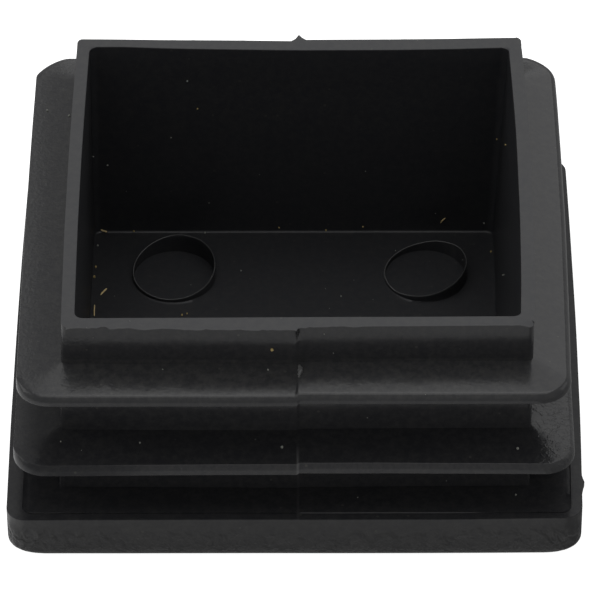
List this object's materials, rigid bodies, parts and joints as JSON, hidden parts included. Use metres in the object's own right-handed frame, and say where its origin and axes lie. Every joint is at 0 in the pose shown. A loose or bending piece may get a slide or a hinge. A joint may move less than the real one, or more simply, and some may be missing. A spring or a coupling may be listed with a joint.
{
  "type": "tube end plug",
  "caption": "Square ribbed plug for a square tube's end: a flat rounded head, a thin open shell and flexible fins that grip the bore.",
  "frame": {"origin": "centre of the head's flat outer face", "axes": "+Z from the outer face towards the open rim, X across the mould's split plane, Y along it"},
  "size_m": [0.05, 0.05, 0.0228],
  "materials": {
    "black_plastic": "semi-matte black moulding, smooth shell and fins, fine grain on the head's sides"
  },
  "bodies": {
    "root": {"tube_end_plug": "black_plastic"}
  },
  "joints": []
}
